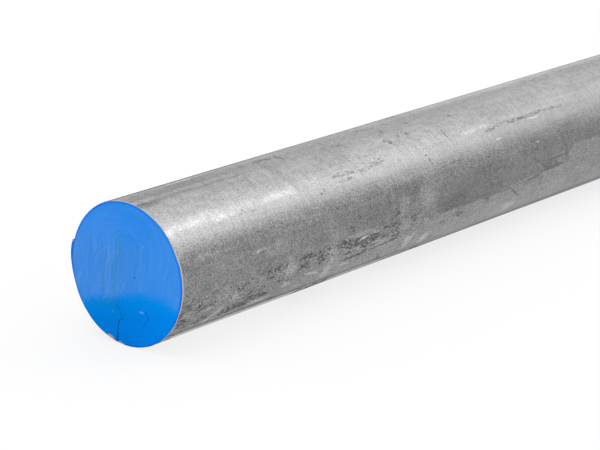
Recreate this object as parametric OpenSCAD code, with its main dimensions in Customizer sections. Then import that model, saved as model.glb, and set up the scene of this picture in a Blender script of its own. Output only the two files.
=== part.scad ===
// Round steel bar, saw-cut from long stock, with one end painted in a colour code.
// The bar lies along Y on the plane Z = 0, and its painted end faces -Y.

/* [Bar] */
// Diameter of the bar, a 2 inch size
bar_diameter = 50.8; // [16:0.1:150]
// Length of the bar, a 24 inch cut
bar_length = 609.6; // [100:0.1:3000]

/* [Sawn ends] */
// Width of the edge break filed round each sawn end
edge_break = 0.3; // [0.1:0.05:1.5]

/* [End paint] */
// Thickness of the brushed paint film on the colour-coded end
paint_thickness = 0.15; // [0.05:0.01:0.5]
// Radius of the larger chip's rounded bite out of the film's rim
large_chip_radius = 2.5; // [1:0.1:6]
// How far the larger chip reaches in from the film's rim
large_chip_depth = 1.1; // [0.2:0.05:1.9]
// Place of the larger chip round the rim, in degrees from +X up towards +Z
large_chip_angle = -108; // [-180:1:180]
// Radius of the smaller chip's rounded bite out of the film's rim
small_chip_radius = 2.3; // [1:0.1:6]
// How far the smaller chip reaches in from the film's rim
small_chip_depth = 0.6; // [0.2:0.05:1.9]
// Place of the smaller chip round the rim, in degrees from +X up towards +Z
small_chip_angle = -97; // [-180:1:180]

/* [Hidden] */
$fn = 96;
bar_radius = bar_diameter / 2;
// The sawn face is what the edge break leaves flat, and the film covers it.
face_radius = bar_radius - edge_break;

// Turns a shape made along +Z from its base into one made along +Y from the
// painted end's sawn face, with the bar resting on Z = 0.
module from_painted_end() {
    translate([0, -bar_length / 2, bar_radius])
        rotate([-90, 0, 0])
            children();
}

// Half of the bar's section through its axis.
module half_section() {
    polygon([
        [0, 0],
        [face_radius, 0],
        [bar_radius, edge_break],
        [bar_radius, bar_length - edge_break],
        [face_radius, bar_length],
        [0, bar_length]
    ]);
}

module bar() {
    color("darkgray")
        from_painted_end()
            rotate_extrude()
                half_section();
}

// A round bite that reaches in from the film's rim by its depth. The film is
// drawn as seen from inside the bar, so the angle turns the other way here.
module chip(radius, depth, angle) {
    rotate(-angle)
        translate([face_radius - depth + radius, 0])
            circle(r = radius);
}

module end_paint() {
    color("dodgerblue")
        from_painted_end()
            mirror([0, 0, 1])
                linear_extrude(paint_thickness)
                    difference() {
                        circle(r = face_radius);
                        chip(large_chip_radius, large_chip_depth, large_chip_angle);
                        chip(small_chip_radius, small_chip_depth, small_chip_angle);
                    }
}

bar();
end_paint();
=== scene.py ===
import math

import bpy
import numpy as np
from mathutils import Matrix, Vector


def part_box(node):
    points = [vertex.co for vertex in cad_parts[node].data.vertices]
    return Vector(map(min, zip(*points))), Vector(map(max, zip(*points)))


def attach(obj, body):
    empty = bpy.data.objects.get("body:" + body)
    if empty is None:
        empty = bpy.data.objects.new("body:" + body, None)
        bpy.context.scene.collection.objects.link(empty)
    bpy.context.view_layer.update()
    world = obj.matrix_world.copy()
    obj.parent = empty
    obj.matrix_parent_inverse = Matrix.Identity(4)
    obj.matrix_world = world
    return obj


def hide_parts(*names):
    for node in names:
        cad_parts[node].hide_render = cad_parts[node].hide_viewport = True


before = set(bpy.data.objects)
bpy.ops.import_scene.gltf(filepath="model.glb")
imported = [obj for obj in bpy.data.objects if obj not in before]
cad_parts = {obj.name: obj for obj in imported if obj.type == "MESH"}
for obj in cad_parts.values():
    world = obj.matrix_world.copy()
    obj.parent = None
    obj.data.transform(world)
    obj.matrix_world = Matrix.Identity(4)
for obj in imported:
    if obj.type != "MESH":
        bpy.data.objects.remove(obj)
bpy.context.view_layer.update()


# The bar
# One solid length of round steel, drawn to size, with a grey satin skin that storage has scratched and
# stained. A band saw cuts it square at both ends, and a file takes the sharp corner off each cut.
MM = 0.001
bar_low, bar_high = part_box("bar")
bar_radius = (bar_high.x - bar_low.x) / 2 / MM
bar_length = (bar_high.y - bar_low.y) / MM
edge_break = 0.3
sawn_radius = bar_radius - edge_break
girth_step = math.radians(1) * bar_radius
painted_face = Vector((0, bar_low.y, bar_radius * MM))

columns = 160
ring_gap = 1.2
edge_steps = 3
saw_pitch = 1.9
saw_depth = 0.02
saw_lean = math.radians(8)
map_margin = 1

# Rings of the sawn faces, as radii in mm: few under the paint, and close ones that carry the saw lines.
hub_radius = 0.5
last_ring = sawn_radius - 0.2
painted_rings = (hub_radius, 12, 23, last_ring)
bare_rings = np.linspace(last_ring, hub_radius, 25)

# Colours of the steel and of what lies on its painted end, and how deep the grain of every finish is, in mm.
steel_tone = 0.315
bright_steel = (0.94, 0.94, 0.95, 1)
corner_tan = (0.52, 0.475, 0.39, 1)
rolled_blue = (0.0, 0.14, 0.6, 1)
sawn_dark = (0.1, 0.1, 0.1, 1)
sawn_bright = (0.72, 0.72, 0.72, 1)
chip_ground = (0.4, 0.3, 0.31, 1)
grain_depth = 0.03


def smooth_step(value, start, end):
    """0 before start, 1 past end, and a smooth rise between."""
    share = np.clip((value - start) / (end - start), 0, 1)
    return share * share * (3 - 2 * share)


def angle_between(angle, middle):
    """How far an angle lies from another, in degrees, the short way round."""
    return (angle - middle + 180) % 360 - 180


# Long shallow waves left by drawing and straightening, with whole numbers of waves round the bar.
wave_draw = np.random.default_rng(11)
wave_height = 0.02
shortest_wave = 60
longest_wave = 260
skin_waves = []
for waves_round in (2, 3, 4, 5, 7, 9, 14, 19, 23, 31):
    skin_waves.append({
        "round": waves_round,
        "along": 2 * math.pi / wave_draw.uniform(shortest_wave, longest_wave),
        "start": wave_draw.uniform(0, 2 * math.pi),
        "height": wave_height / waves_round,
    })
# At both ends the waves and knocks fade out over this length, in mm.
skin_fade = 1.5

# Knocks in the skin: along the bar in mm, round it in degrees, half length, half width and depth in mm.
skin_knocks = [
    (97, -9, 10, 1.1, 0.05),
    (130, 63, 3, 1.6, 0.05),
    (141, 66, 3, 1.6, 0.05),
    (133, 78, 2.5, 1.3, 0.06),
    (79, 35, 1.3, 1.3, 0.07),
    (104, 46, 14, 1.0, 0.03),
    (212, 45, 28, 1.0, 0.03),
    (330, 20, 5, 2.0, 0.08),
    (410, 110, 9, 1.5, 0.07),
    (455, -20, 4, 2.5, 0.08),
    (520, 60, 12, 1.2, 0.06),
    (260, 150, 8, 1.6, 0.07),
    (150, 200, 6, 2.0, 0.08),
    (560, 170, 3, 3.0, 0.08),
]


def skin_height(along, angle):
    """How far the skin stands out from the true round, in mm."""
    height = np.zeros_like(along)
    for wave in skin_waves:
        phase = wave["round"] * np.radians(angle) + wave["along"] * along + wave["start"]
        height += wave["height"] * np.cos(phase)
    for middle, turn, half_length, half_width, depth in skin_knocks:
        round_it = np.radians(angle_between(angle, turn)) * bar_radius
        reach = ((along - middle) / half_length) ** 2 + (round_it / half_width) ** 2
        height -= depth * np.exp(-2 * reach)
    fade_at_ends = smooth_step(along, 0, skin_fade) * smooth_step(bar_length - along, 0, skin_fade)
    return height * fade_at_ends


def bar_profile():
    """The bar's rings from the painted end to the bare one, each as distance along it, radius and zone."""
    rings = []
    for radius in painted_rings:
        rings.append((0, radius, "painted_end"))
    corner = [i * math.pi / 2 / edge_steps for i in range(edge_steps + 1)]
    for turn in corner:
        along = edge_break * (1 - math.cos(turn))
        rings.append((along, sawn_radius + edge_break * math.sin(turn), "skin"))
    gaps = round((bar_length - 2 * edge_break) / ring_gap)
    for i in range(1, gaps):
        rings.append((edge_break + i * (bar_length - 2 * edge_break) / gaps, bar_radius, "skin"))
    for turn in reversed(corner):
        along = bar_length - edge_break * (1 - math.cos(turn))
        rings.append((along, sawn_radius + edge_break * math.sin(turn), "skin"))
    for radius in bare_rings:
        rings.append((bar_length, radius, "bare_end"))
    return rings


def new_piece(name, points, faces, corner_uvs, materials, face_slots):
    """A smooth mesh in metres from points in mm, with the map that its finish is laid out on."""
    mesh = bpy.data.meshes.new(name)
    mesh.from_pydata((np.asarray(points) * MM).tolist(), [], faces)
    mesh.uv_layers.new(name="OFBake").data.foreach_set("uv", np.asarray(corner_uvs, float).ravel())
    mesh.polygons.foreach_set("use_smooth", [True] * len(faces))
    mesh.polygons.foreach_set("material_index", face_slots)
    for material in materials:
        mesh.materials.append(material)
    mesh.validate()
    piece = bpy.data.objects.new(name, mesh)
    bpy.context.scene.collection.objects.link(piece)
    return piece


class Wire:
    """A socket in a node tree. Sums of wires and numbers add the Math nodes that work them out."""

    def __init__(self, tree, socket=None):
        self.tree = tree
        self.socket = socket

    def node(self, kind, settings, sockets, output=0):
        """Adds a node of this kind: its settings first, then what its sockets hold or are linked to."""
        made = self.tree.nodes.new(kind)
        for name, value in settings.items():
            setattr(made, name, value)
        for name, value in sockets.items():
            if isinstance(value, Wire):
                self.tree.links.new(value.socket, made.inputs[name])
            else:
                made.inputs[name].default_value = value
        return Wire(self.tree, made.outputs[output] if made.outputs else None)

    def math(self, operation, first, second=0.0):
        return self.node("ShaderNodeMath", {"operation": operation}, {0: first, 1: second})

    def __add__(self, other):
        return self.math("ADD", self, other)

    def __radd__(self, other):
        return self.math("ADD", other, self)

    def __sub__(self, other):
        return self.math("SUBTRACT", self, other)

    def __rsub__(self, other):
        return self.math("SUBTRACT", other, self)

    def __mul__(self, other):
        return self.math("MULTIPLY", self, other)

    def __rmul__(self, other):
        return self.math("MULTIPLY", other, self)

    def __pow__(self, other):
        return self.math("POWER", self, other)

    def __abs__(self):
        return self.math("ABSOLUTE", self)

    def at_least(self, other):
        return self.math("MAXIMUM", self, other)

    def at_most(self, other):
        return self.math("MINIMUM", self, other)

    def fade(self, start, end, top=1.0):
        """0 before start, top past end, and a smooth rise between. With end before start it falls instead."""
        settings = {"interpolation_type": "SMOOTHSTEP", "clamp": False}
        sockets = {"Value": self, "From Min": start, "From Max": end, "To Max": top}
        return self.node("ShaderNodeMapRange", settings, sockets)

    def band(self, low, high, soft):
        """1 between low and high, with soft edges."""
        return self.fade(low - soft, low + soft) * self.fade(high + soft, high - soft)

    def mix(self, first, second):
        """Goes from the first colour to the second as this wire goes from 0 to 1."""
        return self.node("ShaderNodeMix", {"data_type": "RGBA"}, {0: self, 6: first, 7: second}, 2)

    def mottle(self, spacing, detail=2.0, shift=0.0):
        """Noise about 0, on this wire's places, with patches of this size in mm along X, Y and Z."""
        stretch = tuple(1 / size for size in spacing)
        settings = {"operation": "MULTIPLY_ADD"}
        places = self.node("ShaderNodeVectorMath", settings, {0: self, 1: stretch, 2: (shift, shift, shift)})
        return self.node("ShaderNodeTexNoise", {}, {"Vector": places, "Scale": 1.0, "Detail": detail}) - 0.5

    def axis(self, name):
        """One of this place's three measures."""
        return self.node("ShaderNodeSeparateXYZ", {}, {0: self}, name)

    def dot(self, direction):
        return self.node("ShaderNodeVectorMath", {"operation": "DOT_PRODUCT"}, {0: self, 1: direction}, 1)

    def spot(self, middle, half_size):
        """How far this place lies from the middle of an oval: 0 there and 1 on its rim."""
        grow = (1 / half_size[0], 1 / half_size[1], 0)
        shift = (-middle[0] / half_size[0], -middle[1] / half_size[1], 0)
        settings = {"operation": "MULTIPLY_ADD"}
        oval = self.node("ShaderNodeVectorMath", settings, {0: self, 1: grow, 2: shift})
        return self.node("ShaderNodeVectorMath", {"operation": "LENGTH"}, {0: oval}, 1)

    def streak(self, start, end, half_width):
        """0 along the middle of a thin oval between two places and 1 on its rim. The wire's Z has to be 1."""
        run = Vector(end) - Vector(start)
        ahead = run.normalized() / (run.length / 2 + half_width)
        aside = run.orthogonal().normalized() / half_width
        middle = Vector(start) + run / 2
        gone = self.dot((ahead.x, ahead.y, -ahead.dot(middle)))
        off = self.dot((aside.x, aside.y, -aside.dot(middle)))
        return gone * gone + off * off

    def stroke(self, start, end, half_width, wander=0.0):
        """1 on the line between two places and 0 off it. Wander, in mm, bends the line."""
        run = Vector(end) - Vector(start)
        ahead = run.normalized()
        aside = Vector((-ahead.y, ahead.x))
        gone = self.dot((ahead.x, ahead.y, 0)) - ahead.dot(Vector(start))
        off = self.dot((aside.x, aside.y, 0)) - aside.dot(Vector(start)) + wander
        near = abs(off).fade(1.5 * half_width, 0.5 * half_width)
        return near * gone.band(0, run.length, half_width)

    def bump(self, strength):
        """The normals of a surface that has this wire as its relief."""
        sockets = {"Strength": strength, "Distance": grain_depth * MM, "Height": self}
        return self.node("ShaderNodeBump", {}, sockets)


def new_material(name):
    """An empty material, and a wire with the places on the object in mm from the middle of its base."""
    material = bpy.data.materials.new(name)
    material.use_nodes = True
    material.node_tree.nodes.clear()
    start = Wire(material.node_tree)
    places = start.node("ShaderNodeTexCoord", {}, {}, "Object")
    return material, start.node("ShaderNodeVectorMath", {"operation": "SCALE"}, {0: places, "Scale": 1 / MM})


def surface(wire, **sockets):
    """Ends a material in one Principled surface."""
    named = {name.replace("_", " "): value for name, value in sockets.items()}
    shader = wire.node("ShaderNodeBsdfPrincipled", {}, named)
    wire.node("ShaderNodeOutputMaterial", {}, {"Surface": shader})


# Marks on the skin lie along the bar in mm from the painted end, and round it in degrees from its right side.
# An oval has a middle, a half length, a half angle and a strength. A stroke has a start, an end, a half width
# in mm and a strength.

# Old oil and dust that the skin's pores hold, as ovals and as strokes.
oil_smears = [
    (5, -17, 6, 6, 0.7),
    (2, -23, 4, 8, 0.9),
    (5, -35, 5, 6, 0.9),
    (15, -23, 9, 3, 0.4),
    (15.5, -36, 3, 4, 1.0),
    (26.5, -37.5, 4, 4, 1.6),
    (28, -33, 4, 3, 0.6),
    (32, -17, 5, 4, 0.9),
    (34, -37.5, 4.5, 4.5, 1.8),
    (35, -25, 5, 5, 0.6),
    (41, -25, 5, 4, 0.6),
    (43, -33, 6, 3, 1.7),
    (44, -10, 5, 5, 0.3),
    (46, -16, 4, 4, 0.35),
    (51, -12, 4, 3, 1.3),
    (54, -24, 3, 2, 0.6),
    (65, -10, 6, 4, 1.0),
    (65, -18, 4, 5, 1.5),
    (75, -14.5, 5.5, 7, 1.0),
    (87, -10, 6, 3.5, 1.3),
    (97, -13.5, 11, 3.5, 2.2),
    (101, -15.5, 7, 3.2, 2.2),
    (98.5, -19, 2.5, 2.5, 1.2),
    (91, 1, 2, 4, 1.0),
    (11, -39, 4, 4, 0.9),
    (5, -48, 5, 4, 0.8),
    (91, -21, 5, 3, 1.0),
    (97, -20.5, 12, 4, 0.5),
    (115, -9, 5, 4, 1.3),
    (118, -18, 4, 6, 1.1),
    (110, -16.5, 4, 2, 0.9),
    (127.5, -8, 2, 2, 1.1),
    (129, -13, 3, 5, 0.6),
    (137, -10.5, 5, 3, 0.4),
    (159, -22, 6, 4, 0.7),
    (148, -25, 5, 3, 0.6),
    (176, -18, 3, 4, 0.6),
    (71.5, -57, 2.2, 8, 1.7),
    (79.5, -57, 3.2, 9, 1.9),
    (86, -53, 1.6, 6, 1.4),
    (54, -45.5, 3, 2, 0.8),
    (67, -45, 3, 2, 0.8),
    (114, -45, 2.5, 4, 1.1),
    (126, -39, 3, 6, 1.0),
    (143, -54, 3.5, 6, 1.3),
    (3, -57, 5, 7, 1.9),
    (70, 90, 6, 4, 1.2),
    (59, 90, 3, 4, 0.8),
    (104, 77, 8, 4, 0.4),
    (128, 91, 6, 4, 0.7),
    (134, 89, 4, 2, 0.9),
    (152, 102, 7, 5, 1.0),
    (151.5, 91, 3, 4, 0.5),
    (30, 92, 16, 4, 0.6),
]
oil_strokes = [
    (88, -28, 104, -26, 0.7, 1.4),
    (101, -26.5, 124, -23, 0.5, 1.0),
    (33, -37, 41, -31, 0.8, 1.4),
    (37, -30.5, 47, -33, 0.8, 1.5),
    (112, -36, 115, -45, 0.6, 1.1),
    (113, -3, 120, 1, 0.6, 0.5),
    (54, -26.5, 60, -26, 0.5, 0.8),
]

# Short scores along the bar, broken and shallow, where the light is brightest, as strokes.
bright_side_scores = [
    (89, 46, 98, 46, 1.2, 1.0),
    (96, 45.5, 105, 45.5, 1.0, 0.8),
    (102, 43.5, 111, 44.5, 1.0, 0.7),
    (105, 51, 109, 50, 0.8, 0.8),
    (109, 46.5, 119, 47, 1.1, 1.1),
    (115, 51, 119, 49.5, 0.7, 0.9),
    (90, 40.5, 100, 41, 0.7, 0.7),
    (33, 40, 50, 39, 0.7, 0.7),
    (183, 43.5, 188, 43, 1.0, 1.1),
    (188, 44, 199, 47, 1.0, 0.8),
    (199, 45, 210, 45.5, 1.1, 1.3),
    (208, 45, 220, 45, 0.8, 0.9),
    (214, 47, 223, 47, 0.8, 0.8),
    (221, 45.5, 243, 44.5, 1.0, 0.8),
]

# Soft dark strokes: draw marks on top, the stain's edge, scores and dim patches. The long lines just above
# the floor are painted shade, the reflection of the dark contact line, and the long one at the side's middle
# height is painted shade where the horizon reflects.
dim_lines = [
    (-30, 86.5, 58, 86, 0.8, 0.22),
    (-30, 77, 64, 78, 0.9, 0.2),
    (-6, 75.5, 10, 75.5, 1.8, 0.28),
    (20, 93, 50, 95, 1.6, 0.1),
    (-20, 92, 64, 92, 2.4, 0.16),
    (-30, 76, 135, 75, 6.0, 0.05),
    (84, 71, 110, 73, 5.0, 0.05),
    # Painted shade: dark lines just above the floor, where the contact line would reflect.
    (-60, -46, 170, -47, 0.8, 0.7),
    (60, -62, 330, -47, 2.8, 0.42),
    # Painted shade: a dim band where the horizon reflects.
    (60, 1, 270, 1, 4.5, 0.07),
    (0, -5, 66, -5, 3.0, 0.06),
    (212, -10, 243, -10, 3.0, 0.08),
    (67, 78, 69, 44, 2.5, 0.12),
    (190, -22, 200, -22, 3.0, 0.12),
    (192, 27, 205, 27, 3.0, 0.1),
    (145, 23.5, 152, 23.5, 3.0, 0.1),
    (147, 42, 154, 42, 3.0, 0.09),
    (103, 48.5, 110, 48, 2.0, 0.08),
    (148, 25.5, 164, 26.5, 0.5, 0.2),
    (143, -12, 192, -13.5, 1.6, 0.12),
    (62, -24, 76, -24, 2.0, 0.1),
    # Painted shade: more of the dark line above the floor.
    (190, -53, 330, -51, 2.5, 0.1),
    (110, 44, 118, 44, 1.5, 0.08),
    (70, -1, 78, -3, 2.5, 0.08),
    (88, 3, 108, 5, 3.0, 0.06),
    (66, 78, 78, 76, 2.0, 0.08),
    (22, 41.5, 28, 41.5, 2.0, 0.08),
    (232, 29, 243, 29, 2.5, 0.08),
    (18, -11.5, 27, -11.5, 2.0, 0.08),
    (203, -13, 212, -12, 1.5, 0.1),
    (192, -14.5, 201, -27, 0.6, 0.3),
    (227, 27, 230, 8, 0.7, 0.2),
    (231, 6, 231.5, -6, 1.5, 0.16),
    (77.5, 92, 77.5, 80, 0.9, 0.4),
    (160, 58, 160, 48, 0.6, 0.35),
    (206, 9, 217, -7, 0.6, 0.15),
    (196, -13, 212, -11, 0.7, 0.15),
    (214, -8, 230, -7, 0.8, 0.2),
    (216, 0.5, 230, 1, 0.6, 0.18),
    (61.5, 20, 62, -9, 0.5, 0.1),
    (124, 18, 133, 18, 4.0, 0.14),
    (146, -6, 160, -6, 3.5, 0.12),
    (176, -1, 190, -13, 0.7, 0.15),
    (212, -16, 220, -33, 0.6, 0.15),
]

# Pits that something hard has left: along, angle, half length and half width in mm.
hard_pits = [
    (79, 35.5, 0.8, 0.8),
    (81, 38, 0.6, 0.6),
    (128, 64.5, 1.0, 1.1),
    (130, 60.5, 1.3, 1.4),
    (137, 66, 0.9, 0.8),
    (140.5, 69, 0.9, 0.7),
    (142, 65.5, 1.0, 1.1),
    (133, 77, 1.1, 1.8),
    (143, 35, 0.8, 0.8),
    (142.5, 39.5, 0.8, 0.6),
    (143.5, 31.5, 0.6, 0.6),
    (172.5, 71.5, 1.0, 0.8),
    (149, 79, 0.8, 1.1),
    (38, 43, 0.6, 0.4),
    (50, 70, 0.6, 0.5),
    (91.5, -2, 0.8, 0.9),
    (118, 0, 1.2, 0.7),
    (83.5, -35, 1.4, 1.0),
    (146.5, -40, 1.2, 1.4),
]

# Bands and flecks that handling has rubbed clean and bright, and painted highlights and painted light, as
# ovals.
rubbed_and_lit_bands = [
    (57, -16, 4, 11, 0.7),
    (80, -3, 4, 20, 0.4),
    (80.5, -34, 4, 12, 0.9),
    (126, 26, 12, 4, 0.6),
    (20, 17, 5, 4, 0.5),
    (135, -16, 4, 4, 0.4),
    (244, -19, 8, 5, 0.35),
    (266, 65, 14, 9, 0.35),
    (19, 71, 10, 6, 0.4),
    (122, 5, 5, 9, 0.8),
    (128.5, -35, 3.5, 10, 1.3),
    (140, -38, 3.5, 7, 1.4),
    (136, 4, 6, 16, 0.8),
    # Painted light: the side at the horizon's height is made a little paler.
    (130, 17, 150, 5, 0.25),
    (97, -7, 11, 2.5, 0.7),
    (57, -31.5, 3, 3.5, 1.3),
    (4, -25, 3, 3, 1.0),
    (15.5, -27, 3, 2, 1.4),
    (45, -40, 6, 3, 1.3),
    (29, -24, 3, 5, 1.0),
    (64, -40, 6, 5, 0.4),
    (96, -19.5, 1.5, 3, 0.9),
    (107, -20, 4, 3, 0.7),
    (39, 8.5, 4, 1.8, 1.3),
    (12, 18, 5, 3, 0.7),
    (29, 9, 4, 1.5, 0.5),
    (48, 6, 7, 5, 0.5),
    (196, -37, 5, 8, 1.0),
    (200, -33, 80, 14, 0.4),
    (227, -3, 3, 3, 0.4),
    # From here on, painted highlights along the lamp's highlight band, and painted light on the upper side
    # and the top.
    (28, 46, 45, 5, 0.4),
    (10, 45, 10, 3, 0.4),
    (28, 43.5, 6, 3, 0.6),
    (1, 42, 3, 4, 0.8),
    (60, 46, 9, 4, 0.7),
    (125, 60, 30, 14, 0.3),
    (34, 99, 12, 2.5, 1.1),
    (232, 100, 90, 9, 0.5),
    (240, 76, 60, 18, 0.22),
    (30, 57, 35, 8, 0.25),
]

# Scratches and scuffs that show fresh bright metal, as strokes.
fresh_scuffs = [
    (17.5, -43, 23.5, -31, 1.2, 0.7),
    (40, -41, 50, -38, 1.0, 0.4),
    (67, -27.5, 75, -31.5, 0.6, 0.8),
    (87, -31, 94, -34, 0.6, 0.6),
    (88, -9.5, 93, -11.5, 0.4, 0.35),
    (96, -11.5, 100, -10.7, 0.5, 1.4),
    (101, -10.8, 108, -9.2, 0.45, 0.45),
    (95, -17, 97, -22, 0.6, 0.3),
    (184, -13.6, 199, -11.4, 0.4, 0.25),
    (197, -11.6, 208, -9.6, 0.45, 0.3),
    (206, -10, 213, -7.2, 0.4, 0.25),
    (211, -1, 214, -6.5, 0.5, 0.25),
    (216, 3, 231, 2.6, 0.4, 0.25),
    (224, -3, 229, -6, 0.5, 0.2),
    (226, -16, 233, -13, 0.4, 0.2),
    (215, -11, 218, -19, 0.4, 0.15),
    (169, 48, 178, 48, 1.0, 0.33),
    (180, 48.5, 187, 48, 0.9, 0.3),
    (37, 9.5, 42, 9, 0.5, 0.2),
    (199, 42, 202, 48, 0.4, 0.25),
    (212, 42.5, 219, 43, 0.6, 0.45),
    (186, 33, 189.5, 33, 0.45, 0.6),
    (176, 30, 177, 27, 0.4, 0.25),
    (210.5, 20, 213, 20, 0.5, 0.7),
    (66, 71, 66.4, 65, 0.35, 0.25),
    (69, 70.5, 69.6, 62, 0.4, 0.3),
    (98, 71, 98, 66, 0.35, 0.25),
    (-30, 82, 52, 82, 0.9, 0.1),
    (5, 59.5, 30, 59.5, 0.4, 0.15),
    (63, 21.5, 75, 21, 0.45, 0.25),
]


def steel_skin():
    """Grey drawn steel: grain, draw lines along it, scratches round it, stains, rubbed bands, pits, and
    painted light and shade.
    """
    material, place = new_material("steel_skin")

    # Places on the skin, along in mm and round in degrees. They sway a little, so that no edge is straight.
    sway = place.mottle((7, 9, 7), 1, 4.4)
    along = place.axis("Y") + bar_length / 2 + 0.2 * sway
    around = place.math("ARCTAN2", place.axis("Z") - bar_radius, place.axis("X"))
    angle = around * math.degrees(1) + 0.8 * sway

    fine_grain = place.mottle((0.5, 0.55, 0.5), 1)
    coarse_grain = place.mottle((2.2, 2.8, 2.2), 2)
    clouds = place.mottle((14, 20, 14), 3)
    draw_lines = place.mottle((1.2, 60, 1.2), 3)
    turn_lines = place.mottle((12, 0.6, 12), 2)
    ragged = 1.7 * place.mottle((4, 5, 4), 3, 7.3)
    specks = place.mottle((0.6, 1.3, 0.6), 2, 3.1)
    dashes = place.mottle((0.9, 3.2, 0.9), 2, 8.6)
    flecks = place.mottle((0.7, 0.8, 0.7), 1, 6.2)
    curls = place.mottle((1.1, 1.5, 1.1), 1, 9.4)

    # The skin laid flat, and the slanting smears that a wipe along the low side has left.
    girth = angle * girth_step
    skin = place.node("ShaderNodeCombineXYZ", {}, {"X": along, "Y": girth + 1.1 * sway, "Z": 1.0})
    with_wipe = skin.dot((0.8, 0.6, 0))
    across_wipe = skin.dot((-0.6, 0.8, 0))
    wipe_places = place.node("ShaderNodeCombineXYZ", {}, {"X": with_wipe, "Y": across_wipe})
    wiped = wipe_places.mottle((6, 0.8, 1), 2, 5.5)

    def on_skin(along_mm, turn):
        return (along_mm, turn * girth_step)

    def ovals(marks):
        """The sum of ragged oval marks."""
        total = 0.0
        for along_mm, turn, half_length, half_angle, strength in marks:
            reach = skin.spot(on_skin(along_mm, turn), (half_length, half_angle * girth_step)) + ragged
            total = total + reach.fade(1.3, 0.2, strength)
        return total

    def strokes(marks):
        """The sum of thin marks."""
        total = 0.0
        for along_from, turn_from, along_to, turn_to, half_width, strength in marks:
            reach = skin.streak(on_skin(along_from, turn_from), on_skin(along_to, turn_to), half_width)
            total = total + reach.fade(1.4, 0.25, strength)
        return total

    # The side that lay on the rack, under the edge of the highlight, is more worn than the top.
    side = angle.fade(37, 25) * angle.fade(-175, -140)

    # One long stain runs down that side, and with it a painted shade on the dark band where the horizon
    # reflects. Its lower edge is crisp past the rubbed bands, climbs and steps up.
    climb = (along - 185).at_least(0.0)
    stain_edge = (-15 + 0.11 * climb).at_most(-11.7)
    stain_edge = stain_edge + along.fade(209, 216, 3.7) + along.fade(227, 237, 15.0)
    edge_wander = ragged * along.fade(150, 138) * 35 + ragged * 3
    stain_and_band_shade = (angle - stain_edge + edge_wander).fade(-1.0, 1.0) * (angle + 20 * fine_grain).fade(29, 15)
    past_bands = (along + 8 * ragged).fade(141, 145.5)
    stain_and_band_shade = stain_and_band_shade * (0.75 + 0.15 * along.fade(60, 120) + 0.35 * past_bands)

    dirt = ovals(oil_smears) + strokes(oil_strokes)
    scores = strokes(bright_side_scores)
    lines = strokes(dim_lines)
    pits = 0.0
    for along_mm, turn, half_length, half_width in hard_pits:
        hole = skin.spot(on_skin(along_mm, turn), (half_length, half_width)) + 3 * specks
        pits = pits + hole.fade(1.1, 0.3)
    rubbed_and_lit = ovals(rubbed_and_lit_bands)
    scuffs = strokes(fresh_scuffs)

    # Below the contact line a pale strip shows near the painted end, and again further on: a painted
    # reflection of the bright floor.
    strip_run = along.fade(74, 68) + along.band(90, 122, 4) * 0.65
    floor_reflection_strip = (angle + 2 * sway + 3 * ragged).fade(-49, -53) * angle.fade(-95, -75) * strip_run
    floor_reflection_strip = floor_reflection_strip * (1 + angle.fade(-55, -60, 0.65) + 0.7 * ragged)

    # The far part and the back, which lay against other bars, get stains and bands from drifting patches.
    elsewhere = 1 - along.band(-9, 306, 9) * angle.band(-56, 112, 10)
    patches = place.mottle((14, 34, 14), 4, 11.7)
    bands = place.mottle((40, 9, 40), 1.5, 5.9)
    dirt = dirt + elsewhere * patches.fade(0.03, 0.22, 1.3)
    rubbed_and_lit = rubbed_and_lit + elsewhere * bands.fade(0.02, 0.25, 0.7)
    stain_and_band_shade = stain_and_band_shade * (1 - elsewhere)

    # Painted shade: the lower side is darker, most of all near the painted end and just above the floor where
    # the dark contact line would reflect, and so is the far part of the highlight.
    lower = angle.fade(-165, -130)
    painted_shade = lower * (angle.fade(-8, -20, 0.05) + angle.fade(-42, -50, 0.15) + angle.fade(-50, -58, 0.15))
    painted_shade = painted_shade + angle.band(-46, -22, 4) * along.fade(70, 55, 0.1)
    painted_shade = painted_shade + angle.band(38, 47, 5) * along.fade(130, 230, 0.15)

    # The dirt breaks up into dark pores, and what is rubbed into bright flecks.
    low_side = angle.band(-54, -10, 5) * (along.fade(170, 120) + 0.35 * along.fade(120, 170))
    grime = 0.2 * low_side * along.fade(66, 50) + 0.15 * side - 0.45
    broken_up = 0.75 + 2.5 * dashes + 3.5 * specks
    pore_dirt = dirt * broken_up + grime + 1.5 * specks + 1.5 * dashes + 3.0 * low_side * wiped
    dark_pores = pore_dirt.fade(-0.1, 1.15)
    bright_flecks = (rubbed_and_lit + 0.4 * dirt + 0.5 * low_side + 4.0 * flecks - 0.55).fade(0, 1.0)
    pale_curls = abs(curls).fade(0.05, 0.0) * clouds.fade(-0.1, 0.1) * side
    worn_rings = angle.band(42, 74, 10) * along.band(55, 120, 12) * clouds.fade(-0.05, 0.15)
    turn_scratches = place.mottle((16, 0.4, 16), 1, 1.7).fade(0.2, 0.3)
    draw_scratches = place.mottle((0.4, 16, 0.4), 1, 2.3).fade(0.2, 0.3)

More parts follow.
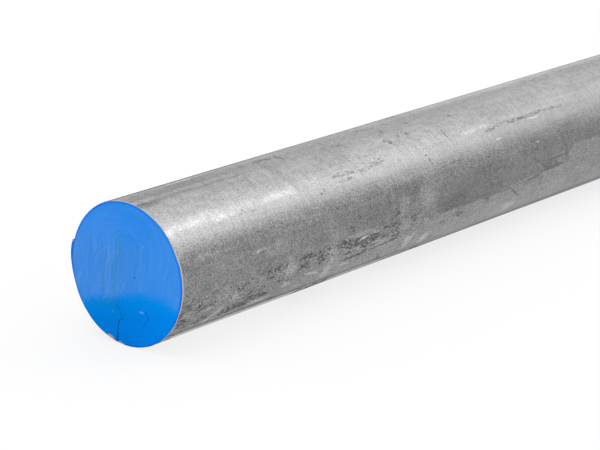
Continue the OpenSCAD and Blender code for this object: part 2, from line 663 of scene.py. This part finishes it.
    # The tone of the steel: first its grain and lines, stronger on the worn side, then all that darkens it.
    above = angle.band(52, 140, 6)
    top = angle.band(75, 140, 5)
    grain_gain = 1.0 + 0.8 * side + 0.2 * above + 0.4 * top + 0.65 * low_side
    grain_gain = grain_gain * (1 - along.fade(110, 200, 0.1))
    cloud_gain = 0.33 - 0.13 * side * along.fade(130, 70)
    shade = 1 + grain_gain * fine_grain + (0.25 + 0.25 * side + 0.3 * above) * coarse_grain
    shade = shade + cloud_gain * clouds + 0.3 * draw_lines + (0.4 + 0.5 * worn_rings) * turn_lines
    shade = shade + 0.9 * low_side * wiped
    shade = shade * (1 - 0.2 * stain_and_band_shade) * (1 - 0.12 * dirt.at_most(1.2)) * (1 - lines) * (1 - painted_shade)
    shade = shade * (1 - 0.74 * dark_pores) * (1 - 0.5 * pits.at_most(1.0))
    shade = shade * (1 - (scores * (0.5 + 2.0 * specks + 2.0 * dashes)).fade(0.1, 0.9, 0.5))

    # The dirt of the dark pores is a dull film on the steel, and no metal. So is a painted shade along the
    # low edge away from the pale strip, where the contact line would reflect, and a darker line along the top
    # edge.
    low_edge_shade = lower * angle.fade(-52, -60) * (1 - strip_run) * (1 - along.fade(180, 230, 0.6))
    dark_top_line = angle.fade(101, 105) * angle.fade(145, 108) * (0.68 + along.fade(110, 30, 0.32))
    film = 0.6 * dark_pores + 0.52 * low_edge_shade + 0.9 * dark_top_line
    shade = shade * (1 - 0.75 * dark_top_line)

    # Last, what is paler: painted light on the top toward its far rim, rubbed places and painted highlights,
    # the painted reflection of the floor in the low strip, flecks, curls and scratches.
    painted_top_light = angle.fade(56, 66, 0.08) + angle.fade(86, 98) * (0.22 + along.fade(110, 200, 0.2))
    painted_top_light = painted_top_light + angle.band(50, 60, 4) * along.fade(120, 160, 0.06)
    shade = shade * (1 + 0.28 * rubbed_and_lit) * (1 + 1.3 * floor_reflection_strip) * (1 + painted_top_light * angle.fade(170, 130))
    shade = shade + 0.3 * bright_flecks + 0.2 * pale_curls + scuffs * (0.8 + 2.0 * flecks)
    shade = shade + 0.15 * turn_scratches + 0.15 * draw_scratches
    colour = (shade * steel_tone).mix((0, 0, 0, 1), bright_steel)

    # The filed corner of the painted end is a pale warm tan on the right and, more faintly, at the top, and
    # less metallic there.
    tan_corner = along.fade(0.5, 0.3) * angle.fade(50, 15)
    tan_corner = tan_corner + (along + 0.2 * ragged).fade(0.8, 0.45) * angle.band(-20, 24, 10)
    tan_corner = tan_corner + along.fade(0.35, 0.15) * angle.band(58, 108, 6) * 0.45
    tan_corner = tan_corner.at_most(1.0)
    colour = tan_corner.mix(colour, corner_tan)

    # The paint itself rolls over that corner, thinly on the right, and leaves it bare at the two chips.
    chipped = angle.band(-112, -104, 1) + angle.band(-100, -94, 1)
    rolled = along.fade(0.36, 0.26) * (1 - angle.band(-50, 108, 8)) * (1 - chipped)
    rolled = rolled + along.fade(0.16, 0.08) * angle.band(-50, 22, 8)
    colour = rolled.mix(colour, rolled_blue)

    relief = fine_grain + 0.5 * coarse_grain + 0.4 * turn_lines - 0.5 * pits
    surface(
        place,
        Base_Color=colour,
        Metallic=(1 - 0.6 * tan_corner) * (1 - film) * (1 - rolled),
        Roughness=0.35 + 0.15 * coarse_grain + 0.1 * dark_pores + 0.05 * stain_and_band_shade,
        Specular_IOR_Level=0.0,
        Specular_Tint=(0.85, 0.85, 0.85, 1),
        Normal=relief.bump(0.5),
    )
    return material


def sawn_steel():
    """Bare steel fresh from the band saw: bright, with straight close lines across the cut."""
    material, place = new_material("sawn_steel")
    saw_lines = place.mottle((60, 60, 0.5), 3)
    fine_grain = place.mottle((0.6, 0.6, 0.6), 2)
    tone = 0.5 + 0.9 * saw_lines + 0.5 * fine_grain
    colour = tone.fade(-0.5, 1.5).mix(sawn_dark, sawn_bright)
    under_paint = place.axis("Y").fade(0, -1)
    colour = under_paint.mix(colour, chip_ground)
    surface(place, Base_Color=colour, Metallic=1.0, Roughness=0.38, Normal=saw_lines.bump(0.5))
    return material


def make_bar():
    """The bar's mesh: rings of points from end to end, closed by a fan at each face."""
    rings = bar_profile()
    turns = np.linspace(-90, 270, columns, endpoint=False)
    points = []
    for along, radius, zone in rings:
        spread = np.full(columns, radius, float)
        depth = np.full(columns, along, float)
        if zone == "skin":
            spread = spread + skin_height(depth, turns)
        across = spread * np.cos(np.radians(turns))
        up = spread * np.sin(np.radians(turns))
        if zone == "bare_end":
            saw_place = up * math.cos(saw_lean) + across * math.sin(saw_lean)
            depth = depth - saw_depth * (1 + np.cos(2 * math.pi * saw_place / saw_pitch)) / 2
        points.append(np.stack([across, depth - bar_length / 2, up + bar_radius], 1))
    points = np.concatenate(points).tolist()

    # The map: the skin as two strips, the near half and the far half, and the two ends beside them.
    girth = 2 * math.pi * bar_radius
    map_gap = 2
    strip = bar_length / 2
    map_size = strip + 2 * map_gap + 2 * bar_radius + map_margin
    end_middle = strip + map_gap + bar_radius
    end_step = bar_radius + map_margin
    end_heights = {"painted_end": end_step, "bare_end": 3 * end_step}
    ring_along = np.array([ring[0] for ring in rings])
    ring_radius = np.array([ring[1] for ring in rings])

    def skin_map(ring, column, far):
        across = ring_along[ring] - strip * far
        up = (column / columns + far) * girth + map_gap * far
        return np.stack([across, up], -1) / map_size

    def end_map(ring, column, zone):
        turn = np.radians(-90 + column * 360 / columns)
        across = end_middle + ring_radius[ring] * np.cos(turn)
        up = end_heights[zone] + ring_radius[ring] * np.sin(turn)
        return np.stack([across, up], -1) / map_size

    faces = []
    corner_uvs = []
    face_slots = []
    slots = {"skin": 0, "painted_end": 1, "bare_end": 1}
    column = np.arange(columns)
    corner_columns = column[:, None] + [0, 1, 1, 0]
    for ring in range(len(rings) - 1):
        zone = rings[ring][2] if rings[ring][2] != "skin" else rings[ring + 1][2]
        corner_rings = ring + np.array([[0, 0, 1, 1]] * columns)
        faces += (corner_rings * columns + corner_columns % columns).tolist()
        face_slots += [slots[zone]] * columns
        if zone == "skin":
            far = 1 if rings[ring][0] + rings[ring + 1][0] > bar_length else 0
            corner_uvs.append(skin_map(corner_rings, corner_columns, far).reshape(-1, 2))
        else:
            corner_uvs.append(end_map(corner_rings, corner_columns, zone).reshape(-1, 2))
    for ring, zone, order in ((0, "painted_end", -1), (len(rings) - 1, "bare_end", 1)):
        middle = len(points)
        points.append((0, rings[ring][0] - bar_length / 2, bar_radius))
        pair = np.stack([column, column + 1][::order], -1)
        fan = np.concatenate([np.full((columns, 1), middle), ring * columns + pair % columns], 1)
        faces += fan.tolist()
        face_slots += [slots[zone]] * columns
        hub = np.full((columns, 1, 2), [end_middle / map_size, end_heights[zone] / map_size])
        corner_uvs.append(np.concatenate([hub, end_map(ring, pair, zone)], 1).reshape(-1, 2))
    corner_uvs = np.concatenate(corner_uvs)
    return new_piece("steel_bar", points, faces, corner_uvs, [steel_skin(), sawn_steel()], face_slots)


steel_bar = make_bar()
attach(steel_bar, "root")
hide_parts("bar")


# The end paint
# A colour-code paint, brushed by hand over the sawn face so that the bar's grade can be told in the rack.
# It is a thin film with brush marks, a lap over a saw burr on one side, chips at the bottom and a few cracks.
film_thickness = 0.15
film_cells = 240
ridge_height = 0.006
pool_rise = 0.02
crack_depth = 0.1
burr_reach = 0.85
chips = [
    {"angle": -108, "radius": 2.5, "depth": 1.1},
    {"angle": -97, "radius": 2.3, "depth": 0.6},
]
# The brush went over the top in flat arches and then straight down, leaning to the left, about this middle.
arch_across = -0.7
arch_up = 10
arch_squash = 1.6
stroke_lean = 0.22
# The paint ran down into a thicker, darker pool below about this height on the face, in mm from its middle.
pool_edge_start = -8
pool_blur = 2.1
# Cracks in the film, as points across and up from the middle of the face in mm, with half width in mm.
cracks = [
    ([(-4.8, -11.8), (-3.7, -12.4), (-3.1, -13.6), (-1.8, -16.0)], 0.14),
    ([(-1.8, -16.0), (-3.5, -16.9), (-4.05, -18.4), (-4.2, -20.6)], 0.18),
    ([(-4.2, -20.6), (-4.6, -24.6)], 0.36),
    ([(8.6, -11.4), (9.4, -12.5), (10.2, -13.8), (8.8, -15.1), (7.4, -17.5)], 0.08),
    ([(4.9, -14.4), (5.9, -15.3)], 0.08),
]
# Dull smears along the strokes: start, end, half width, raggedness and strength.
dull_smears = [
    ((-3, 13), (-5.5, 4), 2.6, 4, 0.25),
    ((-2, 6), (-6, -11), 3.4, 6, 0.2),
    ((-8.5, 6), (-11, -9), 1.8, 4, 0.18),
]
# Thin places where the brush dragged: start, end, half width and strength.
thin_strokes = [
    ((-7.7, 8.4), (-8.4, 3.5), 0.35, 0.5),
    ((-8.4, 3.5), (-10.3, -6.6), 0.4, 0.3),
    ((-12.3, -1.5), (-12.9, -7.6), 0.35, 0.25),
]
# Dark dots, and pale flecks of lifted paint: middle, half size, where the edge starts and ends, strength.
dark_dots = [
    ((4.1, -0.3), (0.4, 0.3), 1.2, 0.4, 1.0),
    ((12.2, -8.8), (0.35, 0.3), 1.2, 0.4, 0.4),
]
pale_flecks = [
    ((6.9, -12.0), (1.2, 0.55), 1.1, 0.6, 1.0),
    ((-6.2, -14.2), (0.4, 0.7), 1.2, 0.5, 0.4),
    ((8.0, 11.1), (0.4, 0.35), 1.3, 0.4, 1.0),
]
# Blues of the brushed face, the pool and the rim, at the left and at the right, lighter on the right as
# painted light, then the colours of marks.
brushed_left = (0.007, 0.208, 0.69, 1)
brushed_right = (0.001, 0.217, 0.745, 1)
deep_left = (0.0, 0.192, 0.67, 1)
deep_right = (0.0, 0.212, 0.745, 1)
shallow_left = (0.0, 0.22, 0.69, 1)
shallow_right = (0.0, 0.245, 0.755, 1)
rim_left = (0.0, 0.13, 0.68, 1)
rim_right = (0.0, 0.18, 0.84, 1)
dull_blue = (0.005, 0.19, 0.42, 1)
thin_blue = (0.15, 0.26, 0.5, 1)
light_streak = (0.06, 0.3, 0.82, 1)
dark_streak = (0.0, 0.16, 0.58, 1)
lap_shade_blue = (0.0, 0.1, 0.5, 1)
bare_burr = (0.45, 0.38, 0.4, 1)
crack_navy = (0.0, 0.02, 0.16, 1)
fleck_blue = (0.2, 0.4, 0.78, 1)


def burr_share(turn):
    """How much of the saw burr stands at each angle, from 0 to 1: a sharp start and a taper downwards."""
    off = angle_between(turn, 180)
    return smooth_step(-off, -20, 12) * smooth_step(-off, 19, 17)


def film_rim(turn):
    """Radius of the film's rim at each angle, in mm: chips bite into it, and the paint laps over a burr."""
    wobble = 0.04 * np.sin(np.radians(5 * turn + 40)) + 0.03 * np.sin(np.radians(11 * turn))
    lap = 0.25 * np.exp(-((turn + 42) / 7) ** 2)
    rim = sawn_radius + wobble + lap
    for chip in chips:
        centre = sawn_radius - chip["depth"] + chip["radius"]
        off = np.radians(angle_between(turn, chip["angle"]))
        inside = chip["radius"] ** 2 - (centre * np.sin(off)) ** 2
        bite = centre * np.cos(off) - np.sqrt(np.maximum(inside, 0))
        rim = np.where((inside > 0) & (np.abs(off) < 0.5), np.minimum(rim, bite), rim)
    return rim + burr_reach * burr_share(turn)


def off_line(across, up, start, end):
    """How far places on the face lie from a short line, in mm."""
    run = np.subtract(end, start)
    share = ((across - start[0]) * run[0] + (up - start[1]) * run[1]) / np.dot(run, run)
    share = np.clip(share, 0, 1)
    return np.hypot(across - start[0] - share * run[0], up - start[1] - share * run[1])


def film_height(across, up):
    """How far the film's face stands out from the sawn face, in mm: brush ridges, the pool and cracks."""
    drop = np.minimum(up - arch_up, 0)
    rise = arch_squash * np.maximum(up - arch_up, 0)
    hair = np.hypot(across - arch_across - stroke_lean * drop, rise)
    ridges = np.sin(2 * math.pi * hair / 1.9 + 0.6 * np.sin(up / 5))
    ridges = ridges + 0.7 * np.sin(2 * math.pi * hair / 1.15 + 0.5 * np.sin(across / 6))
    ridges = ridges + 0.5 * np.sin(2 * math.pi * hair / 0.8 + 0.4 * np.sin(up / 3))
    ridges = ridges * (1 - 0.6 * smooth_step(up, 5, 12))
    pool = smooth_step(pool_edge_start - up, 0, 3)
    height = film_thickness + ridge_height * ridges * (1 - 0.6 * pool) + pool_rise * pool
    for points, half_width in cracks:
        for start, end in zip(points[:-1], points[1:]):
            depth = crack_depth * np.exp(-(off_line(across, up, start, end) / (1.3 * half_width)) ** 2)
            floor_of_crack = film_thickness - depth + pool_rise * pool + ridge_height * ridges
            height = np.minimum(height, floor_of_crack)
    return height


def blue_paint():
    """Blue paint: satin and streaked where the brush passed, deeper and dull in the pool at the bottom."""
    material, place = new_material("blue_paint")
    across = place.axis("X")
    up = place.axis("Z") - bar_radius
    face = place.node("ShaderNodeCombineXYZ", {}, {"X": across, "Y": up, "Z": 1.0})
    fine_grain = face.mottle((0.7, 0.7, 1), 2)
    clouds = face.mottle((6, 6, 1), 2, 2.6)

    # Streaks follow the hairs of the brush, and are smoother over the top.
    drop = (up - arch_up).at_most(0.0)
    rise = arch_squash * (up - arch_up).at_least(0.0)
    lean = across - arch_across - stroke_lean * drop
    hair = (lean ** 2 + rise ** 2) ** 0.5
    drift = face.mottle((11, 11, 1), 2, 9.1)
    brushed = place.node("ShaderNodeCombineXYZ", {}, {"X": hair + 7 * drift, "Y": up, "Z": across})
    streaks = brushed.mottle((0.9, 12, 10), 2)
    broad_streaks = brushed.mottle((2.4, 14, 12), 2, 5.2)
    combed = 1 - up.fade(6, 13, 0.55)

    # The pool's edge is ragged, higher on the right, and dips at both sides.
    past_right = (across - 13).at_least(0.0)
    past_left = (-14 - across).at_least(0.0)
    pool_edge = -10.8 + 5.5 * across.fade(-16, 10) - 0.025 * past_right ** 2 - 0.06 * past_left ** 2
    pool = (pool_edge + 10 * fine_grain + 2 * clouds - up).fade(-pool_blur, pool_blur)

    # The blues grow lighter toward the right and the top: painted light, as if more light fell there.
    right = across.fade(-6, 16)
    top = up.fade(6, 18)
    brushed_blue = right.at_least(top).mix(brushed_left, brushed_right)
    deep_blue = right.mix(deep_left, deep_right)
    shallow_blue = right.mix(shallow_left, shallow_right)
    pooled_blue = (pool_edge - up).fade(0, 9).mix(shallow_blue, deep_blue)
    colour = pool.mix(brushed_blue, pooled_blue)
    dull = (face.streak((-13, -12.5), (-5, -11), 2.0) + 2 * clouds).fade(1.4, 0.2, 0.3)
    for start, end, half_width, raggedness, strength in dull_smears:
        reach = face.streak(start, end, half_width) + raggedness * streaks
        dull = dull + reach.fade(1.4, 0.1, strength)
    colour = dull.mix(colour, dull_blue)

    # The dull ground shows through the thin places.
    bend = 2 * clouds + 1.5 * fine_grain
    thin = face.spot((-5.1, 7.0), (0.8, 0.7)).fade(1.2, 0.3, 0.3)
    for start, end, half_width, strength in thin_strokes:
        thin = thin + face.stroke(start, end, half_width, bend) * strength
    thin = thin + (1 - pool) * combed * broad_streaks.fade(0.04, 0.2, 0.15)
    colour = (thin * (0.6 + 1.5 * fine_grain)).mix(colour, thin_blue)
    brush_share = (1 - pool) * (1 - 0.45 * right) * combed
    dragged = brush_share * (1.1 * streaks + 0.4 * broad_streaks) + 0.5 * fine_grain
    colour = (dragged * 0.9).mix(colour, light_streak)
    colour = (dragged * -0.9).mix(colour, dark_streak)

    # The rim, where the paint thins over the edge and looks deeper, a painted shade of darker blue on the lap
    # over the burr on the left, and the bare burr.
    inside_rim = sawn_radius - (across ** 2 + up ** 2) ** 0.5
    colour = inside_rim.fade(0.8, 0.2, 0.6).mix(colour, right.mix(rim_left, rim_right))
    lap_shade = inside_rim.fade(0.2, -0.2) * across.fade(-20, -24, 0.6)
    colour = lap_shade.mix(colour, lap_shade_blue)
    bare = face.spot((-25.3, 7.6), (1.1, 1.0)).fade(1.1, 0.7)
    colour = bare.mix(colour, bare_burr)

    # Cracks and dots are dark, and flecks of lifted paint are pale.
    crack = 0.0
    for points, half_width in cracks:
        for start, end in zip(points[:-1], points[1:]):
            crack = face.stroke(start, end, half_width, 0.8 * fine_grain).at_least(crack)
    for middle, half_size, outer, inner, strength in dark_dots:
        crack = face.spot(middle, half_size).fade(outer, inner, strength).at_least(crack)
    colour = (crack * 0.6).mix(colour, crack_navy)
    fleck = 0.0
    for middle, half_size, outer, inner, strength in pale_flecks:
        fleck = face.spot(middle, half_size).fade(outer, inner, strength).at_least(fleck)
    colour = (fleck * 0.33).mix(colour, fleck_blue)

    # The satin is wiped thin near the top, and gone in the pool, in the cracks and at the rim.
    wiped = (face.spot((4, 16), (9, 8)) + 2 * clouds).fade(1.4, 0.3, 0.18) + up.fade(18.5, 21.5, 0.12)
    wiped = wiped + hair.band(5.5, 7.5, 1.0) * up.fade(8, 11) * across.band(-5, 8, 3) * 0.18
    satin = 0.86 - 0.06 * right + across.fade(12, 22, 0.12) - 0.06 * top - wiped
    satin = satin + 0.6 * fine_grain + 0.7 * (1 - 0.45 * right) * combed * streaks
    satin = (1 - pool) * (1 - crack) * (1 - inside_rim.fade(1.0, 0.3, 0.7)) * satin
    surface(
        place,
        Base_Color=colour,
        Roughness=0.6,
        Specular_IOR_Level=0.0,
        Coat_Weight=satin,
        Coat_Roughness=0.35,
        Normal=(fine_grain + streaks).bump(0.4),
    )
    return material


def make_film():
    """The film's mesh: a fine grid drawn out to a round, turned over the rim and closed at the back."""
    side = np.linspace(-1, 1, film_cells + 1)
    across, up = np.meshgrid(side, side)
    round_across = across * np.sqrt(1 - up ** 2 / 2)
    round_up = up * np.sqrt(1 - across ** 2 / 2)
    share = np.hypot(round_across, round_up)
    turn = np.degrees(np.arctan2(round_up, round_across))
    radius = share * sawn_radius + (film_rim(turn) - sawn_radius) * smooth_step(share, 0.85, 1)
    across = radius * np.cos(np.radians(turn))
    up = radius * np.sin(np.radians(turn))
    face_y = painted_face.y / MM
    front = np.stack([across, face_y - film_height(across, up), up + bar_radius], -1)

    count = film_cells + 1
    number = np.arange(count * count).reshape(count, count)
    corners = [number[:-1, :-1], number[:-1, 1:], number[1:, 1:], number[1:, :-1]]
    faces = np.stack(corners, -1).reshape(-1, 4).tolist()
    edge = np.concatenate([number[0, :-1], number[:-1, -1], number[-1, :0:-1], number[:0:-1, 0]])
    points = front.reshape(-1, 3)
    edge_points = points[edge]
    edge_turn = np.degrees(np.arctan2(edge_points[:, 2] - bar_radius, edge_points[:, 0]))
    burr = burr_share(edge_turn)
    # The rim turns back in three steps: how far out in mm, and the share of the thickness that is left.
    rim_steps = ((0.05, 0.6), (0.05, 0.2), (-0.05, 0.0))
    loops = [edge]
    for out, back in rim_steps:
        loop = edge_points.copy()
        loop[:, 0] += out * np.cos(np.radians(edge_turn))
        loop[:, 2] += out * np.sin(np.radians(edge_turn))
        loop[:, 1] = face_y - film_thickness * back + burr * (1 - back)
        loops.append(len(points) + np.arange(len(edge)))
        points = np.concatenate([points, loop])
    for inner, outer in zip(loops[:-1], loops[1:]):
        faces += np.stack([inner, outer, np.roll(outer, -1), np.roll(inner, -1)], -1).tolist()
    middle = np.full(len(edge), len(points))
    points = np.concatenate([points, [[0, face_y, bar_radius]]])
    faces += np.stack([middle, np.roll(loops[-1], -1), loops[-1]], -1).tolist()
    spread = (points[:, [0, 2]] - [0, bar_radius]) / (2 * (bar_radius + map_margin)) + 0.5
    corner_uvs = spread[[corner for face in faces for corner in face]]
    return new_piece("end_paint_film", points, faces, corner_uvs, [blue_paint()], [0] * len(faces))


end_film = make_film()
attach(end_film, "root")
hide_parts("end_paint")


# The studio
# A plain pale floor under soft light: a white sky that is brighter overhead than at the horizon, and one
# large soft lamp high behind the bar that makes the long highlight.
floor_half = 12.0
floor_grey = (0.68, 0.68, 0.68, 1)
white_share = 0.8
horizon_light = 0.68
overhead_light = 1.25
overhead_power = 1.3
lamp_place = (0.92, 1.42, 1.61)
lamp_size = 1.3
lamp_brightness = 1.35
floor_mesh = bpy.data.meshes.new("floor")
floor_corners = [(-1, -1), (1, -1), (1, 1), (-1, 1)]
floor_mesh.from_pydata([(floor_half * x, floor_half * y, 0) for x, y in floor_corners], [], [(0, 1, 2, 3)])
floor = bpy.data.objects.new("floor", floor_mesh)
bpy.context.scene.collection.objects.link(floor)


def floor_finish():
    """Pale matt floor. What the camera, metal and glass see of it is most of the way to white."""
    material, place = new_material("pale_floor")
    matt = place.node("ShaderNodeBsdfDiffuse", {}, {"Color": floor_grey})
    white = place.node("ShaderNodeEmission", {}, {"Color": (1, 1, 1, 1), "Strength": 1.0})
    camera = place.node("ShaderNodeLightPath", {}, {}, "Is Camera Ray")
    glossy = place.node("ShaderNodeLightPath", {}, {}, "Is Glossy Ray")
    through = place.node("ShaderNodeLightPath", {}, {}, "Is Transmission Ray")
    seen = camera.at_least(glossy).at_least(through)
    shader = place.node("ShaderNodeMixShader", {}, {0: seen * white_share, 1: matt, 2: white})
    place.node("ShaderNodeOutputMaterial", {}, {"Surface": shader})
    return material


floor_mesh.materials.append(floor_finish())


def studio_sky():
    """Soft light from all round, dimmer at the horizon and brighter overhead, like a white tent."""
    world = bpy.data.worlds.new("studio_sky")
    world.use_nodes = True
    world.node_tree.nodes.clear()
    start = Wire(world.node_tree)
    direction = start.node("ShaderNodeTexCoord", {}, {}, "Generated")
    height = direction.axis("Z").at_least(0.0)
    brightness = horizon_light + overhead_light * height ** overhead_power
    background = start.node("ShaderNodeBackground", {}, {"Color": (1, 1, 1, 1), "Strength": brightness})
    start.node("ShaderNodeOutputWorld", {}, {"Surface": background})
    return world


bpy.context.scene.world = studio_sky()


def soft_lamp(name, place, aim, width, height, brightness):
    """A flat soft lamp of an even brightness, facing a point."""
    lamp = bpy.data.lights.new(name, "AREA")
    lamp.shape = "RECTANGLE"
    lamp.size = width
    lamp.size_y = height
    lamp.energy = brightness * math.pi * width * height
    holder = bpy.data.objects.new(name, lamp)
    holder.location = place
    holder.rotation_euler = (Vector(aim) - Vector(place)).to_track_quat("-Z", "Y").to_euler()
    bpy.context.scene.collection.objects.link(holder)
    return holder


soft_lamp("back_lamp", lamp_place, painted_face, lamp_size, lamp_size, lamp_brightness)


# The camera
# It stands low in front of the painted end, to the right of the bar, with a long lens.
camera_turn = math.radians(39.36)
camera_rise = math.radians(16.18)
camera_distance = 0.8188
camera_aim = painted_face + Vector((0.0073, 0.083, 0))
camera_data = bpy.data.cameras.new("camera")
camera_data.sensor_width = 36
camera_data.lens = 136.36
camera = bpy.data.objects.new("camera", camera_data)
towards_camera = Vector((
    math.sin(camera_turn) * math.cos(camera_rise),
    -math.cos(camera_turn) * math.cos(camera_rise),
    math.sin(camera_rise),
))
camera.location = camera_aim + towards_camera * camera_distance
camera.rotation_euler = (-towards_camera).to_track_quat("-Z", "Y").to_euler()
bpy.context.scene.collection.objects.link(camera)
bpy.context.scene.camera = camera
bpy.context.scene.view_settings.view_transform = "Standard"
